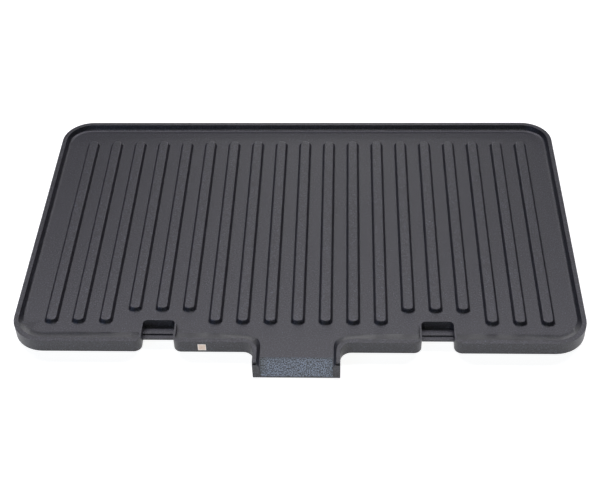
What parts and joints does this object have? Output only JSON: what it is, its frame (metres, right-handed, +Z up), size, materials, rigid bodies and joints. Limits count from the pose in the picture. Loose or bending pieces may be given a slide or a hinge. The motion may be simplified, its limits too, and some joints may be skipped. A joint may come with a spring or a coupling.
{
  "type": "panini press grill plate",
  "caption": "Removable heated lower grill plate of a panini press: ribbed non-stick casting with a front grease spout, latch notches, rear lugs and a plug-in element",
  "frame": {"origin": "under the middle of the part's footprint, on the plane of the four rest pads", "axes": "+X to the right along the width, +Y from the spout to the rear, +Z up out of the ribs"},
  "size_m": [0.368, 0.2514, 0.014],
  "materials": {
    "coating": "die-cast aluminium under a semi-matte charcoal non-stick coating with a fine speckle",
    "element_steel": "drawn steel sheath, heat-tinted",
    "magnesia": "packed white magnesia powder",
    "resistance_wire": "coiled nickel-chromium wire",
    "nickel_steel": "nickel-plated steel, satin",
    "steatite": "unglazed steatite ceramic",
    "plain_steel": "zinc-plated sheet and screws",
    "paper": "blank matt paper"
  },
  "bodies": {
    "root": {"plate_casting": "coating", "element_sheath": "element_steel", "element_powder": "magnesia", "resistance_coil": "resistance_wire", "cold_pin_left": "nickel_steel", "cold_pin_right": "nickel_steel", "end_bush_left": "steatite", "end_bush_right": "steatite", "connector_body": "steatite", "connector_cover": "plain_steel", "contact_blade_left": "nickel_steel", "contact_blade_right": "nickel_steel", "earth_blade": "nickel_steel", "earth_screw": "plain_steel", "connector_screws": "plain_steel", "inspection_sticker": "paper"}
  },
  "joints": []
}
